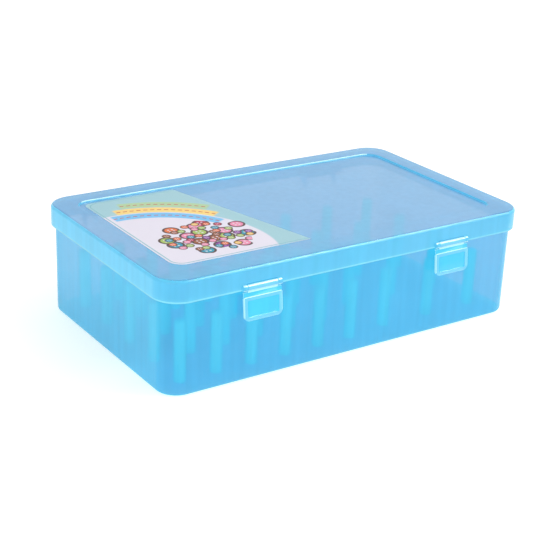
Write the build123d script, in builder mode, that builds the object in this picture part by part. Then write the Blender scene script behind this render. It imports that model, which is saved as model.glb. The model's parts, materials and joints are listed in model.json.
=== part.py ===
"""A see-through thread box: a tray of pegs under a hinged lid with two snap latches.

Millimetres, Z up. The origin is on the table, under the middle of the box.
The latches are on the front, at -Y, and the hinges are on the back, at +Y.
"""

from build123d import *
import os

os.makedirs("parts", exist_ok=True)

# Closed box
box_length = 245.0
box_width = 146.0
box_height = 66.5
corner_radius = 15.0

# Lid
lid_wall = 1.8
lid_roof = 1.8
skirt_height = 12.6
lid_edge_bevel = 1.6
panel_margin = 13.5
panel_depth = 1.2
panel_lap = 1.6
panel_corner_radius = 9.0
panel_bevel = 0.5

# Tray
tray_wall = 1.8
tray_floor = 2.0
tray_edge_bevel = 2.0
skirt_gap = 0.7
rim_gap = 0.3

# Pegs
peg_radius = 3.5
peg_length = 35.0
small_columns = 6
small_rows = 5
small_column_pitch = 22.5
small_end_gap = 14.2
small_wall_gap = 12.7
large_columns = 3
large_rows = 4
large_end_gap = 15.95
large_wall_gap = 16.95
size_step = 27.75

# Hinges
hinge_inset = 42.5
hinge_radius = 2.8
hinge_drop = 1.8
hinge_gap = 0.4
hinge_web_height = 9.0
hinge_arm_height = 6.5
knuckle_width = 16.0
ear_width = 7.0
knuckle_gap = 0.4
hinge_pin_radius = 1.25
hinge_pin_press = 0.02
hinge_pin_slip = 0.08

# Latches
latch_inset = 57.5
latch_width = 24.0
latch_length = 18.1
latch_plate = 1.6
latch_lean = 1.95
latch_step = 0.7
latch_neck = 2.5
latch_band = 2.2
latch_band_sink = 0.5
latch_corner_radius = 3.0
latch_border = 2.2
latch_sink = 0.6
latch_barrel_radius = 1.85
latch_barrel_gap = 0.75
latch_rise = 1.6
latch_notch_gap = 0.5
latch_lug_width = 2.4
latch_lug_gap = 0.25
latch_pin_radius = 1.0
latch_pin_fit = 0.05
catch_width = 18.0
catch_height = 2.4
catch_depth = 1.6
catch_drop = 8.6
catch_gap = 0.25
bead_height = 2.2
bead_width = 16.0

# Label card
label_thickness = 0.3
label_left_gap = 4.4
label_front_gap = 8.2
label_back_gap = 3.8
label_front_length = 85.3
label_back_length = 59.3
label_front_radius = 8.0
label_back_radius = 4.0

# Levels
skirt_bottom = box_height - skirt_height
roof_underside = box_height - lid_roof
panel_floor = box_height - panel_depth
rim_top = roof_underside - rim_gap

# Tray outline
tray_inset = lid_wall + skirt_gap
tray_length = box_length - 2 * tray_inset
tray_width = box_width - 2 * tray_inset
tray_radius = corner_radius - tray_inset

# Axis of the hinges and of the latches, seen from the end of the box
hinge_y = box_width / 2 + hinge_gap + hinge_radius
hinge_z = skirt_bottom - hinge_drop
hinge_x = box_length / 2 - hinge_inset
latch_y = -(tray_width / 2 + latch_barrel_gap + latch_barrel_radius)
latch_z = skirt_bottom + latch_rise
latch_x = box_length / 2 - latch_inset

# Rows of pegs share the width. The columns of small pegs start at the left, and those of large
# pegs share what is left of the length.
inner_length = tray_length - 2 * tray_wall
inner_width = tray_width - 2 * tray_wall
small_row_pitch = (inner_width - 2 * small_wall_gap) / (small_rows - 1)
large_row_pitch = (inner_width - 2 * large_wall_gap) / (large_rows - 1)
small_start = -inner_length / 2 + small_end_gap
large_start = small_start + (small_columns - 1) * small_column_pitch + size_step
large_column_pitch = (inner_length / 2 - large_end_gap - large_start) / (large_columns - 1)

# Latch plate, seen from the end: its front and back lines lean out towards the bottom, and a
# band along its top is set back
plate_top = latch_z - latch_neck
face_top = plate_top - latch_band
plate_bottom = latch_z - latch_length
plate_front_top = latch_y - latch_barrel_radius + latch_step


def plate_front(height):
    """The Y of the latch plate's front face at a height."""
    return plate_front_top - latch_lean * (latch_z - height) / latch_length


# Catch on the tray and the bead that snaps under it
catch_top = latch_z - catch_drop
catch_bottom = catch_top - catch_height
catch_front = -tray_width / 2 - catch_depth
bead_tip = catch_front - catch_gap
bead_top = catch_bottom - catch_gap


# Tray
with BuildPart() as tray:
    # A deep shell, bevelled round its bottom
    with BuildSketch(Plane.XY):
        RectangleRounded(tray_length, tray_width, tray_radius)
    extrude(amount=rim_top)
    chamfer(tray.edges().group_by(Axis.Z)[0], tray_edge_bevel)
    with BuildSketch(Plane.XY.offset(tray_floor)):
        RectangleRounded(inner_length, inner_width, tray_radius - tray_wall)
    extrude(amount=rim_top - tray_floor, mode=Mode.SUBTRACT)

    # Catches for the two latches
    for x in (-latch_x, latch_x):
        with BuildSketch(Plane.YZ.offset(x)):
            wall_middle = -tray_width / 2 + tray_wall / 2
            Polygon(
                (wall_middle, catch_top),
                (catch_front + catch_depth / 2, catch_top),
                (catch_front, catch_bottom + catch_height / 3),
                (catch_front, catch_bottom),
                (wall_middle, catch_bottom),
                align=None,
            )
        extrude(amount=catch_width / 2, both=True)

    # Ears for the two hinges
    for side in (-1, 1):
        for end in (-1, 1):
            ear_x = side * hinge_x + end * (knuckle_width / 2 + knuckle_gap + ear_width / 2)
            with BuildSketch(Plane.YZ.offset(ear_x)):
                with Locations((hinge_y, hinge_z)):
                    Circle(hinge_radius)
                Polygon(
                    (tray_width / 2 - tray_wall / 2, hinge_z),
                    (hinge_y, hinge_z),
                    (hinge_y, hinge_z - hinge_radius),
                    (tray_width / 2 - tray_wall / 2, hinge_z - hinge_web_height),
                    align=None,
                )
                with Locations((hinge_y, hinge_z)):
                    Circle(hinge_pin_radius + hinge_pin_press, mode=Mode.SUBTRACT)
            extrude(amount=ear_width / 2, both=True)
tray.part.label = "tray"


# Lid
with BuildPart() as lid:
    # A shallow cap with a bevelled top edge
    with BuildSketch(Plane.XY.offset(skirt_bottom)):
        RectangleRounded(box_length, box_width, corner_radius)
    extrude(amount=skirt_height)
    chamfer(lid.edges().group_by(Axis.Z)[-1], lid_edge_bevel)
    with BuildSketch(Plane.XY.offset(skirt_bottom)):
        RectangleRounded(box_length - 2 * lid_wall, box_width - 2 * lid_wall, corner_radius - lid_wall)
    extrude(amount=roof_underside - skirt_bottom, mode=Mode.SUBTRACT)

    # Sunken panel, with the roof carried down under it
    panel_length = box_length - 2 * panel_margin
    panel_width = box_width - 2 * panel_margin
    with BuildSketch(Plane.XY.offset(roof_underside)):
        RectangleRounded(panel_length + 2 * panel_lap, panel_width + 2 * panel_lap, panel_corner_radius + panel_lap)
    extrude(amount=-panel_depth)
    with BuildSketch(Plane.XY.offset(box_height)):
        RectangleRounded(panel_length, panel_width, panel_corner_radius)
    extrude(amount=-panel_depth, mode=Mode.SUBTRACT)
    panel_edges = lid.edges().group_by(Axis.Z)[-1].filter_by(
        lambda edge: abs(edge.center().X) < panel_length / 2 + 0.1 and abs(edge.center().Y) < panel_width / 2 + 0.1
    )
    chamfer(panel_edges, panel_bevel)

    # Latch notches in the skirt, each between two lugs
    for x in (-latch_x, latch_x):
        notch_width = latch_width - 2 * latch_lug_width
        notch_top = latch_z + latch_barrel_radius + latch_notch_gap
        with BuildSketch(Plane.XY.offset(skirt_bottom)):
            with Locations((x, -box_width / 2 + lid_wall / 2)):
                Rectangle(notch_width, 2 * lid_wall)
        extrude(amount=notch_top - skirt_bottom, mode=Mode.SUBTRACT)
        for end in (-1, 1):
            with BuildSketch(Plane.YZ.offset(x + end * (latch_width - latch_lug_width) / 2)):
                with Locations((latch_y, latch_z)):
                    Circle(latch_barrel_radius)
                Polygon(
                    (latch_y, latch_z),
                    (latch_y, latch_z + latch_barrel_radius),
                    (-box_width / 2 + lid_wall / 2, latch_z + latch_barrel_radius),
                    (-box_width / 2 + lid_wall / 2, latch_z),
                    align=None,
                )
                with Locations((latch_y, latch_z)):
                    Circle(latch_pin_radius + latch_pin_fit, mode=Mode.SUBTRACT)
            extrude(amount=latch_lug_width / 2, both=True)
            with BuildSketch(Plane.YZ.offset(x + end * (latch_width - latch_lug_width) / 2)):
                with Locations((latch_y, latch_z)):
                    Circle(latch_pin_radius + latch_pin_fit)
            extrude(amount=latch_lug_width / 2, both=True, mode=Mode.SUBTRACT)

    # Hinge knuckles on arms from the back of the skirt
    for x in (-hinge_x, hinge_x):
        with BuildSketch(Plane.YZ.offset(x)):
            with Locations((hinge_y, hinge_z)):
                Circle(hinge_radius)
            Polygon(
                (box_width / 2 - lid_wall / 2, skirt_bottom),
                (box_width / 2, skirt_bottom),
                (hinge_y - hinge_radius, hinge_z),
                (hinge_y + hinge_radius, hinge_z),
                (box_width / 2 - lid_wall / 2, skirt_bottom + hinge_arm_height),
                align=None,
            )
            with Locations((hinge_y, hinge_z)):
                Circle(hinge_pin_radius + hinge_pin_slip, mode=Mode.SUBTRACT)
        extrude(amount=knuckle_width / 2, both=True)
lid.part.label = "lid"


# Latches
latch_parts = {}
for name, x in (("latch_left", -latch_x), ("latch_right", latch_x)):
    barrel_width = latch_width - 2 * (latch_lug_width + latch_lug_gap)
    with BuildPart() as latch:
        # Plate at full width, rounded at its bottom corners
        with BuildSketch(Plane.YZ.offset(x)):
            Polygon(
                (plate_front(plate_top) + latch_band_sink, plate_top),
                (plate_front(face_top) + latch_band_sink, face_top),
                (plate_front(face_top), face_top),
                (plate_front(plate_bottom), plate_bottom),
                (plate_front(plate_bottom) + latch_plate, plate_bottom),
                (plate_front(plate_top) + latch_plate, plate_top),
                align=None,
            )
        extrude(amount=latch_width / 2, both=True)
        bottom_corners = latch.edges().filter_by(Axis.Y).group_by(Axis.Z)[0]
        fillet(bottom_corners, latch_corner_radius)

        # Sunken middle of the plate's front
        face_middle = (face_top + plate_bottom) / 2
        front = Plane(
            origin=(x, plate_front(face_middle), face_middle),
            x_dir=(1, 0, 0),
            z_dir=(0, -latch_length, latch_lean),
        )
        with BuildSketch(front):
            RectangleRounded(
                latch_width - 2 * latch_border,
                face_top - plate_bottom - 2 * latch_border,
                latch_corner_radius - latch_border / 2,
            )
        extrude(amount=-latch_sink, mode=Mode.SUBTRACT)

        # Barrel and the neck that joins it to the plate
        with BuildSketch(Plane.YZ.offset(x)):
            with Locations((latch_y, latch_z)):
                Circle(latch_barrel_radius)
            Polygon(
                (plate_front(latch_z) + latch_band_sink, latch_z),
                (plate_front(plate_top) + latch_band_sink, plate_top),
                (plate_front(face_top) + latch_band_sink, face_top),
                (plate_front(face_top) + latch_plate, face_top),
                (plate_front(plate_top) + latch_plate, plate_top),
                (latch_y, latch_z),
                align=None,
            )
        extrude(amount=barrel_width / 2, both=True)

        # Stub pins that snap into the lid's lugs
        with BuildSketch(Plane.YZ.offset(x)):
            with Locations((latch_y, latch_z)):
                Circle(latch_pin_radius)
        extrude(amount=latch_width / 2, both=True)

        # Bead that snaps under the catch
        with BuildSketch(Plane.YZ.offset(x)):
            Polygon(
                (plate_front(bead_top) + latch_plate / 2, bead_top),
                (bead_tip, bead_top),
                (bead_tip, bead_top - bead_height / 2),
                (plate_front(bead_top - bead_height) + latch_plate, bead_top - bead_height),
                (plate_front(bead_top - bead_height) + latch_plate / 2, bead_top - bead_height),
                align=None,
            )
        extrude(amount=bead_width / 2, both=True)
    latch.part.label = name
    latch_parts[name] = latch.part


# Hinge pins, pressed into the ears
pin_parts = {}
for name, x in (("hinge_pin_left", -hinge_x), ("hinge_pin_right", hinge_x)):
    with BuildPart() as pin:
        with BuildSketch(Plane.YZ.offset(x)):
            with Locations((hinge_y, hinge_z)):
                Circle(hinge_pin_radius)
        extrude(amount=knuckle_width / 2 + knuckle_gap + ear_width, both=True)
    pin.part.label = name
    pin_parts[name] = pin.part


# Small pegs stand on the floor in columns, each column one piece of the model
peg_parts = {}
for column in range(small_columns):
    with BuildPart() as small_pegs:
        with BuildSketch(Plane.XY.offset(tray_floor)):
            with Locations((small_start + column * small_column_pitch, 0)):
                with GridLocations(0, small_row_pitch, 1, small_rows):
                    Circle(peg_radius)
        extrude(amount=peg_length)
    name = f"small_pegs_column_{column + 1}"
    small_pegs.part.label = name
    peg_parts[name] = small_pegs.part

# Large pegs, one by one
for column in range(large_columns):
    for row in range(large_rows):
        peg_x = large_start + column * large_column_pitch
        peg_y = (row - (large_rows - 1) / 2) * large_row_pitch
        with BuildPart() as large_peg:
            with BuildSketch(Plane.XY.offset(tray_floor)):
                with Locations((peg_x, peg_y)):
                    Circle(peg_radius)
            extrude(amount=peg_length)
        name = f"large_peg_c{column + 1}_r{row + 1}"
        large_peg.part.label = name
        peg_parts[name] = large_peg.part


# Label card on the sunken panel, with a slanted right edge
label_left = -panel_length / 2 + label_left_gap
label_front = -panel_width / 2 + label_front_gap
label_back = panel_width / 2 - label_back_gap
with BuildPart() as label_card:
    with BuildSketch(Plane.XY.offset(panel_floor)) as card_sketch:
        Polygon(
            (label_left, label_front),
            (label_left + label_front_length, label_front),
            (label_left + label_back_length, label_back),
            (label_left, label_back),
            align=None,
        )
        left_corners = card_sketch.vertices().group_by(Axis.X)[0].sort_by(Axis.Y)
        fillet(left_corners[0], label_front_radius)
        left_corners = card_sketch.vertices().group_by(Axis.X)[0].sort_by(Axis.Y)
        fillet(left_corners[-1], label_back_radius)
    extrude(amount=label_thickness)
label_card.part.label = "label_card"


export_step(tray.part, "parts/tray.step")
export_step(lid.part, "parts/lid.step")
export_step(label_card.part, "parts/label_card.step")
for name, part in {**latch_parts, **pin_parts, **peg_parts}.items():
    export_step(part, f"parts/{name}.step")
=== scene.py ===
"""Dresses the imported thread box: see-through shells, snap latches, pegs, hinge pins and a card.

Metres, Z up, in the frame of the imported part. The latches are on the front, at -Y.
"""

import json
import math
from functools import partial

import bmesh
import bpy
from bpy.props import FloatProperty, FloatVectorProperty, IntProperty, PointerProperty
from bpy.types import NodeSocket, Operator, Panel, PropertyGroup
from mathutils import Euler, Matrix, Vector


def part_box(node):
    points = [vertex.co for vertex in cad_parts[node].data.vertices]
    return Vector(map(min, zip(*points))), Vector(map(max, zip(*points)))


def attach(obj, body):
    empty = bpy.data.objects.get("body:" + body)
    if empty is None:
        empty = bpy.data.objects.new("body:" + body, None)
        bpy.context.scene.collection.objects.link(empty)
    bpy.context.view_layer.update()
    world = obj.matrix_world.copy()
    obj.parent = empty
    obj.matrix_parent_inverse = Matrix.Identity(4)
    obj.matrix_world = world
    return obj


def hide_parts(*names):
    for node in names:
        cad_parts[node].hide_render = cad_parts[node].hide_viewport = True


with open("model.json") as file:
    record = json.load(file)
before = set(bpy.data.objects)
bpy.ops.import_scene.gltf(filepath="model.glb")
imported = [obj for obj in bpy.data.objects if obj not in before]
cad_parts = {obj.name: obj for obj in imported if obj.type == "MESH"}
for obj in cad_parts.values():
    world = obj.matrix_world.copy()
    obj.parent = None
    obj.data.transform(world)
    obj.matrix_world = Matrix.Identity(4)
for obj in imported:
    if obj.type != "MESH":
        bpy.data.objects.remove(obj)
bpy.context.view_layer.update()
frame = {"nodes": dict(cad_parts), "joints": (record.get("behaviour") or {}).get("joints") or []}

bl_info = {
    "name": "Thread Box",
    "version": (1, 0, 0),
    "blender": (4, 5, 0),
    "location": "View3D > Sidebar > Thread Box",
    "description": "Builds the pieces and materials of a see-through thread box",
    "category": "Object",
}

MM = 0.001

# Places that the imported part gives
JOINT_PLACES = {joint["name"]: Vector(joint["pos_m"]) for joint in frame["joints"]}
HINGE_AXIS = JOINT_PLACES["lid_hinge"]
LATCH_AXES = {side: JOINT_PLACES[f"latch_{side}_pivot"] for side in ("left", "right")}
TRAY_LOW, TRAY_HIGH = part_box("tray")
LID_LOW, LID_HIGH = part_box("lid")
LATCH_LOW, LATCH_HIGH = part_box("latch_left")
CARD_LOW, CARD_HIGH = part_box("label_card")
PIN_LOW, PIN_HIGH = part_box("hinge_pin_left")
PIN_X = (PIN_LOW.x + PIN_HIGH.x) / 2
PIN_RADIUS = (PIN_HIGH.z - PIN_LOW.z) / 2
PEG_LOW, PEG_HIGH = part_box("large_peg_c1_r1")
PEG_NODES = [name for name in frame["nodes"] if "_peg" in name]

# Sizes of the shells that follow from those places
HINGE_RADIUS = LID_HIGH.y - HINGE_AXIS.y
HINGE_GAP = 0.4 * MM
LID_LENGTH = LID_HIGH.x - LID_LOW.x
LID_WIDTH = 2 * (HINGE_AXIS.y - HINGE_RADIUS - HINGE_GAP)
LID_TOP = LID_HIGH.z
TRAY_LENGTH = TRAY_HIGH.x - TRAY_LOW.x
TRAY_INSET = (LID_LENGTH - TRAY_LENGTH) / 2
TRAY_WIDTH = LID_WIDTH - 2 * TRAY_INSET
RIM_TOP = TRAY_HIGH.z
TRAY_FLOOR = PEG_LOW.z
PANEL_FLOOR = CARD_LOW.z
LATCH_Z = LATCH_AXES["left"].z
LATCH_Y = LATCH_AXES["left"].y
LATCH_RISE = 1.6 * MM
SKIRT_BOTTOM = LATCH_Z - LATCH_RISE

# Hinges and latches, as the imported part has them
KNUCKLE_WIDTH = 16 * MM
KNUCKLE_GAP = 0.4 * MM
KNUCKLE_ARM = 6.5 * MM
EAR_WIDTH = 7 * MM
EAR_WEB = 9 * MM
BARREL_RADIUS = LATCH_HIGH.z - LATCH_Z
LATCH_WIDTH = LATCH_HIGH.x - LATCH_LOW.x
LATCH_LEAN = 1.95 * MM
LATCH_STEP = 0.7 * MM
LATCH_NECK = 2.5 * MM
LATCH_BAND = 2.2 * MM
LATCH_BAND_SINK = 0.5 * MM
LATCH_BAND_GAP = 0.15 * MM
NOTCH_GAP = 0.5 * MM
NOTCH_DEPTH = 8 * MM
NOTCH_OVERRUN = 2 * MM
LUG_WIDTH = 2.4 * MM
LUG_GAP = 0.25 * MM
STUB_RADIUS = 1.0 * MM
STUB_FIT = 0.05 * MM
PIN_PRESS = 0.02 * MM
PIN_SLIP = 0.08 * MM
SEAT_GAP = 0.03 * MM
BORE_OVERRUN = 0.2 * MM
CATCH_ROOT = 0.9 * MM
CATCH_WIDTH = 18 * MM
CATCH_HEIGHT = 2.4 * MM
CATCH_DEPTH = 1.6 * MM
CATCH_DROP = 8.6 * MM
CATCH_GAP = 0.25 * MM
BEAD_WIDTH = 16 * MM
BEAD_HEIGHT = 2.2 * MM
CATCH_TOP = LATCH_Z - CATCH_DROP
CATCH_BOTTOM = CATCH_TOP - CATCH_HEIGHT
PLATE_TOP = LATCH_Z - LATCH_NECK
FACE_TOP = PLATE_TOP - LATCH_BAND
PLATE_BOTTOM = LATCH_LOW.z

# Bevels of the small moulded pieces, roundings of the latch's face, and how much of the plate's
# thickness the face takes, so that its back lies inside the bead
FINE_BEVEL = 0.2 * MM
SMALL_BEVEL = 0.25 * MM
BEVEL = 0.3 * MM
FACE_CORNER = 0.8 * MM
SUNK_CORNER = 1.0 * MM
SUNK_FOOT_CORNER = 1.6 * MM
FACE_SHARE = 0.99

# Axes of a stack of outlines: the outline's own two, and the one that it rises along
RISING = Matrix.Identity(4)
ACROSS = Matrix(((0, 0, 1, 0), (1, 0, 0, 0), (0, 1, 0, 0), (0, 0, 0, 1)))

# Steps of the arcs, the angle of a crease, and the least cosine at a corner of an inset outline
ARC_STEPS = 12
EDGE_STEPS = 6
FILLET_STEPS = 4
RIM_STEPS = 3
PEG_SIDES = 32
SMOOTH_ANGLE = math.radians(40)
LEAST_COSINE = 0.4

# Where one plastic ends and the next begins; several of these bound the paler plastics that paint
# highlight lines on edges
HEM_HEIGHT = 1.1 * MM
STEP_LINE = 0.7 * MM
FOOT_LINE = 1.0 * MM
LUG_CLEAR = 0.2 * MM
LINING_DROP = 0.3 * MM
STEP_MARGIN = 0.1 * MM
BACK_MARGIN = 1 * MM
SKIRT_DROP = 0.35 * MM
BAND_TOP_LINE = 0.3 * MM
TOUCH = 0.01 * MM
# Angles about the latch's axis between which the bar's two painted highlight lines lie
BAR_HIGHLIGHTS = ((40, 75), (-65, -25))

# Colours that several plastics share, and the whole look of the shells' inner faces
TRAY_TINT = (0.68, 0.66, 0.8)
LID_TINT = (0.46, 0.6, 0.74)
LID_BODY = (0.16, 0.52, 0.84)
LINING = ((0.96, 0.99, 1.0), LID_BODY, 0.03, 0, 0.08, "SKIN")
# Pale body of the plastics that paint highlight lines and bands on edges, standing in for light
# gathered there
HIGHLIGHT_BODY = (0.6, 0.96, 1.0)
LATCH_TINT = (0.7, 0.95, 0.98)
PEG_TINT = (0.7, 0.92, 1.0)
PEG_BODY = (0.2, 0.94, 1.0)

# Of each plastic: the tint that it lets through, the body colour that it scatters, how much it
# scatters, the index of refraction of its shine or 0 for none, the shine's roughness, and its
# form, which is SKIN for an even haze, WALL for a flat wall and ROD for a round rod
PLASTICS = {
    "tray_plastic": (TRAY_TINT, (0.08, 0.6, 0.92), 0.36, 1.3, 0.08, "WALL"),
    "tray_inner_plastic": LINING,
    # Painted highlight: a paler, more scattering plastic round the tray's bottom for the light line
    # along that edge
    "tray_foot_plastic": (TRAY_TINT, (0.08, 0.76, 0.98), 0.75, 1.45, 0.08, "SKIN"),
    "lid_plastic": (LID_TINT, LID_BODY, 0.21, 1.7, 0.08, "WALL"),
    "skirt_plastic": (LID_TINT, (0.17, 0.69, 0.98), 0.52, 1.27, 0.08, "WALL"),
    # Painted highlight: a paler plastic for the light lines on the lugs' bar and the top of the
    # panel's back step
    "edge_plastic": (LID_TINT, HIGHLIGHT_BODY, 0.85, 1.45, 0.08, "SKIN"),
    "lid_inner_plastic": LINING,
    # Painted highlight: a paler plastic along the skirt's lower edge for the light line there
    "hem_plastic": (LID_TINT, (0.3, 0.84, 1.0), 0.7, 1.27, 0.08, "SKIN"),
    "latch_plastic": (LATCH_TINT, (0.07, 0.66, 0.96), 0.55, 1.45, 0.08, "SKIN"),
    "latch_border_plastic": (LATCH_TINT, (0.22, 0.66, 0.96), 0.6, 1.45, 0.08, "SKIN"),
    # Painted highlight: a paler plastic for the light lines on the latch's bar and round its
    # plate's edges
    "latch_edge_plastic": (LATCH_TINT, HIGHLIGHT_BODY, 0.8, 1.45, 0.08, "SKIN"),
    "peg_plastic": (PEG_TINT, PEG_BODY, 0.85, 1.45, 0.2, "ROD"),
    "pin_plastic": (PEG_TINT, PEG_BODY, 0.8, 1.45, 0.2, "SKIN"),
}

# Noise in features per metre, the depth of its bumps, and its darker tones
FLOW_SCALE = 28.0
STREAK_SCALE = 260.0
STREAK_STRETCH = (1, 1, 0.04)
FINE_SCALE = 1400.0
PAPER_SCALE = 900.0
BACK_SCALE = 120.0
FLOOR_SCALE = 6.0
BUMP_DEPTH = 0.25 * MM
DEEP_SHADE = 0.86
BACK_SHADE = 0.9

# The card's print, with places from the card's front left corner
SWEEP_MIDDLE = Vector((6, 20, 0)) * MM
SWEEP_RADIUS = 62 * MM
RIBBON_WIDTH = 8 * MM
RIBBON_GAP = 1.2 * MM
STITCH_PITCH = 4 * MM
STITCH_WIDTH = 0.9 * MM
EDGE_LINE_INSET = 1.0 * MM
EDGE_LINE_WIDTH = 0.7 * MM
INK_SOFT = 0.12 * MM
MINT_SOFT = 0.6 * MM
DASH = (0.2, 0.8)
RIBBON_ANGLES = ((28, 92), (35, 87), (42, 82))
HEAP_MIDDLE = Vector((37, 30, 0)) * MM
HEAP_REACH = Vector((27, 21, 1000)) * MM
BUTTON_SIZES = ((11 * MM, 0.46), (6.5 * MM, 0.4))
BUTTON_COLOURS = (
    (0.45, 0.02, 0.08),
    (0.72, 0.17, 0.06),
    (0.8, 0.5, 0.1),
    (0.35, 0.5, 0.12),
    (0.03, 0.3, 0.42),
    (0.25, 0.06, 0.35),
    (0.75, 0.25, 0.4),
    (0.3, 0.1, 0.04),
)
BUTTON_RIM = (0.09, 0.05, 0.05)
BUTTON_HOLE = (0.7, 0.66, 0.72)
RIM_SHARE = 0.74
HOLE_PLACE = 0.24
HOLE_SHARE = 0.13

# Rays that see the white background, and rays that carry light through the plastic
SEEN_RAYS = ("Is Camera Ray", "Is Glossy Ray", "Is Transmission Ray")
LIGHT_RAYS = ("Is Shadow Ray", "Is Diffuse Ray")
LIGHT_TINT = (0.72, 0.945, 0.985)
CLEAR_LAYERS = 48

# The floor's underside, top and two greys
FLOOR_LOW = -20 * MM
FLOOR_TOP = -0.1 * MM
FLOOR_GREYS = ((0.86, 0.86, 0.86), (0.88, 0.88, 0.88))

# Place, target, side and power or strength of the lights
KEY = ((0.62, -0.46, 0.98), (0, 0, 0.06), 0.36, 5.0)
FILL = ((-1.0, -0.8, 0.35), (0, 0, 0.05), 0.7, 6.0)
SHEEN = ((0.68, -0.5, 0.98), (0, -0.07, 0.06), 0.9, 11.0)


def field(kind, name, description, default, **limits):
    """A value for the sidebar."""
    return kind(name=name, description=description, default=default, **limits)


# Lengths in metres, shares from 0 to 1, linear colours and angles, each for the sidebar
size = partial(field, FloatProperty, min=0.0, unit="LENGTH", precision=4)
share = partial(field, FloatProperty, min=0.0, max=1.0, subtype="FACTOR")
colour = partial(field, FloatVectorProperty, min=0.0, max=1.0, subtype="COLOR")
rotation = partial(field, FloatProperty, subtype="ANGLE")


def with_plastics(group):
    """Gives a group of settings the tint, body and haze of each plastic."""
    for name, (tint, body, haze, *_) in PLASTICS.items():
        label = name.replace("_", " ").capitalize()
        group.__annotations__ |= {
            f"{name}_tint": colour(f"{label} tint", "What it lets through", tint),
            f"{name}_body": colour(f"{label} body", "Colour that it scatters", body),
            f"{name}_haze": share(f"{label} haze", "How much it scatters", haze),
        }
    return group


@with_plastics
class PlasticSettings(PropertyGroup):
    """Colours and haze of each plastic, under the plastic's name."""


class ShellSettings(PropertyGroup):
    """Walls and roundings of the tray and the lid."""

    corner_radius: size("Corner radius", "Radius of the lid's corners, seen from above", 15 * MM)
    wall: size("Wall", "Thickness of the tray's and the lid's walls", 1.8 * MM)
    tray_edge: size("Tray edge", "Rounding round the bottom of the tray", 2.4 * MM)
    tray_fillet: size("Tray fillet", "Rounding inside the tray, round its floor", 1.5 * MM)
    rim_edge: size("Rim edge", "Rounding of the tray's rim and the skirt's lower edge", 0.5 * MM)
    lid_edge: size("Lid edge", "Rounding round the top of the lid", 2.2 * MM)
    lid_fillet: size("Lid fillet", "Rounding inside the lid, under its edge", 1.2 * MM)
    panel_margin: size("Panel margin", "From the lid's side to its sunken panel", 13.5 * MM)
    panel_radius: size("Panel radius", "Radius of the panel's corners", 9 * MM)
    panel_lap: size("Panel lap", "How far the thick place under the panel's edge reaches", 1.6 * MM)
    panel_edge: size("Panel edge", "Rounding of the panel's step", 0.5 * MM)


class LatchSettings(PropertyGroup):
    """Shape of the two latches."""

    plate: size("Plate", "Thickness of the latch's plate", 1.6 * MM)
    corner_radius: size("Corner radius", "Radius of the plate's lower corners", 3 * MM)
    border: size("Border", "Width of the raised border", 2.2 * MM)
    sink: size("Sink", "Depth of the plate's middle", 0.6 * MM)
    # The plate's rounding, which also sets the width of the painted highlight round its edges
    edge: size("Edge", "Rounding of the plate's edges", 0.35 * MM)


class PegSettings(PropertyGroup):
    """Shape of the pegs and the hinge pins."""

    tip_edge: size("Tip edge", "Rounding of a peg's tip", 0.7 * MM)
    rows: field(IntProperty, "Rows", "Small pegs in a column", 5, min=1)
    pin_edge: size("Pin edge", "Rounding of a hinge pin's ends", 0.3 * MM)


class CardSettings(PropertyGroup):
    """Shape and print of the card on the lid."""

    front_length: size("Front length", "Length of the card's front edge", 85.3 * MM)
    back_length: size("Back length", "Length of the card's back edge", 59.3 * MM)
    front_radius: size("Front radius", "Radius of the card's front left corner", 8 * MM)
    back_radius: size("Back radius", "Radius of the card's back left corner", 4 * MM)
    paper: colour("Paper", "Colour of the card's left part", (0.72, 0.69, 0.78))
    mint: colour("Mint", "Colour of the card's right part", (0.34, 0.56, 0.62))
    sky: colour("Sky", "Colour of the inner ribbon", (0.19, 0.5, 0.8))
    sun: colour("Sun", "Colour of the middle ribbon", (0.85, 0.62, 0.22))
    leaf: colour("Leaf", "Colour of the outer ribbon", (0.42, 0.58, 0.34))
    stitch: colour("Stitch", "Colour of the dashed stitches", (0.5, 0.06, 0.05))
    line: colour("Line", "Colour of the thin line along the card's edge", (0.22, 0.46, 0.52))


class StageSettings(PropertyGroup):
    """Camera, lights and floor."""

    camera_place: field(
        FloatVectorProperty,
        "Camera place",
        "Where the camera stands",
        (-0.41215, -0.58425, 0.31662),
        subtype="TRANSLATION",
    )
    azimuth: rotation("Azimuth", "Turn of the camera round the box", math.radians(-34.808))
    elevation: rotation("Elevation", "How far the camera looks down", math.radians(22.484))
    roll: rotation("Roll", "Tilt of the camera about its own axis", math.radians(2.434))
    lens: field(FloatProperty, "Lens", "Focal length in millimetres", 84.06, min=1.0)
    floor_size: size("Floor size", "Side of the floor", 8.0)
    daylight: field(
        FloatProperty, "Daylight", "Strength of the light from all round", 0.8, min=0.0
    )
    floor_lift: share("Floor lift", "White that the camera sees added to the floor", 0.32)


class SceneSettings(PropertyGroup):
    """All settings of the thread box."""

    plastic: PointerProperty(type=PlasticSettings)
    shell: PointerProperty(type=ShellSettings)
    latch: PointerProperty(type=LatchSettings)
    peg: PointerProperty(type=PegSettings)
    card: PointerProperty(type=CardSettings)
    stage: PointerProperty(type=StageSettings)


# Outlines


def arc(centre, radius, start, end, steps=ARC_STEPS):
    """Points of an arc between two angles in degrees."""
    points = []
    for step in range(steps + 1):
        angle = math.radians(start + (end - start) * step / steps)
        points.append(Vector(centre) + radius * Vector((math.cos(angle), math.sin(angle))))
    return points


def corners(*places):
    """An outline from the places of its corners."""
    return [Vector(place) for place in places]


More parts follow.
